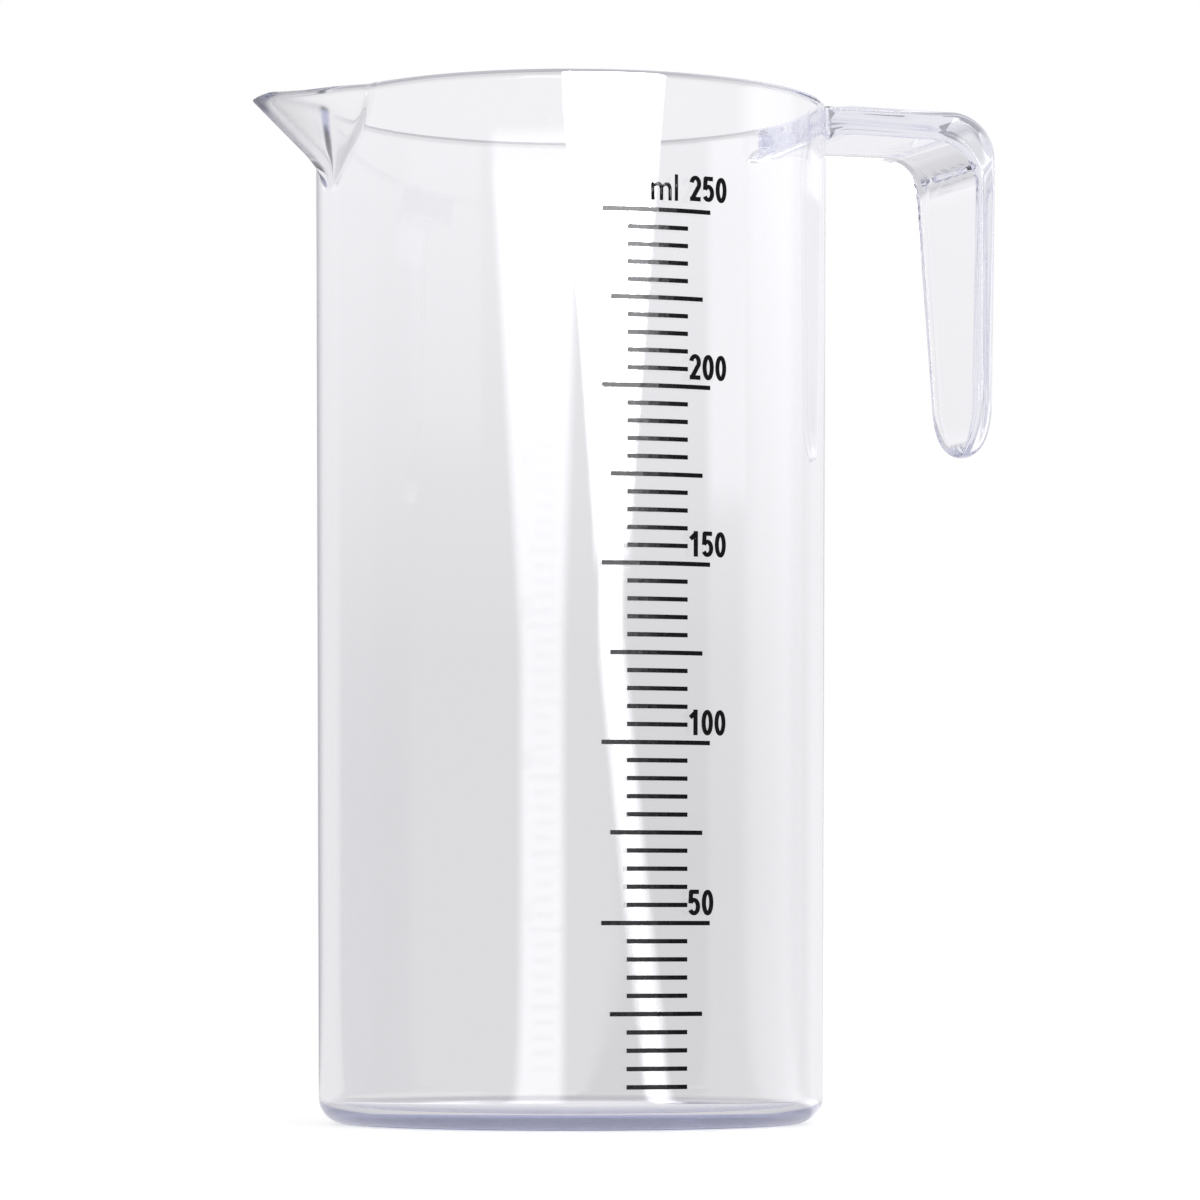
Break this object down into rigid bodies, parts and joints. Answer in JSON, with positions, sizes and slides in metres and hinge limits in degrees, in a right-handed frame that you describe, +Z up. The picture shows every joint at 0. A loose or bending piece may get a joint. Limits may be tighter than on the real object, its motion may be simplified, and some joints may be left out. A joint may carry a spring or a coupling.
{
  "type": "measuring cup",
  "caption": "Clear moulded plastic measuring cup: a tall straight cup with a pointed pouring lip, an open strap handle that hangs from the rim, and a printed millilitre scale.",
  "frame": {"origin": "centre of the flat underside of the foot, on the cup's axis", "axes": "+Z up along the cup's axis, +X towards the handle, -X towards the pouring lip, and the printed scale faces -Y"},
  "size_m": [0.0904, 0.06, 0.1195],
  "materials": {
    "clear_plastic": "clear, polished as moulded, with a faint violet tint where it is thick",
    "ink": "screen-printed black ink, slightly satin"
  },
  "bodies": {
    "root": {"cup_body": "clear_plastic", "handle": "clear_plastic", "mark_005": "ink", "mark_010": "ink", "mark_015": "ink", "mark_020": "ink", "mark_025": "ink", "mark_030": "ink", "mark_035": "ink", "mark_040": "ink", "mark_045": "ink", "mark_050": "ink", "mark_055": "ink", "mark_060": "ink", "mark_065": "ink", "mark_070": "ink", "mark_075": "ink", "mark_080": "ink", "mark_085": "ink", "mark_090": "ink", "mark_095": "ink", "mark_100": "ink", "mark_105": "ink", "mark_110": "ink", "mark_115": "ink", "mark_120": "ink", "mark_125": "ink", "mark_130": "ink", "mark_135": "ink", "mark_140": "ink", "mark_145": "ink", "mark_150": "ink", "mark_155": "ink", "mark_160": "ink", "mark_165": "ink", "mark_170": "ink", "mark_175": "ink", "mark_180": "ink", "mark_185": "ink", "mark_190": "ink", "mark_195": "ink", "mark_200": "ink", "mark_205": "ink", "mark_210": "ink", "mark_215": "ink", "mark_220": "ink", "mark_225": "ink", "mark_230": "ink", "mark_235": "ink", "mark_240": "ink", "mark_245": "ink", "mark_250": "ink"}
  },
  "joints": []
}
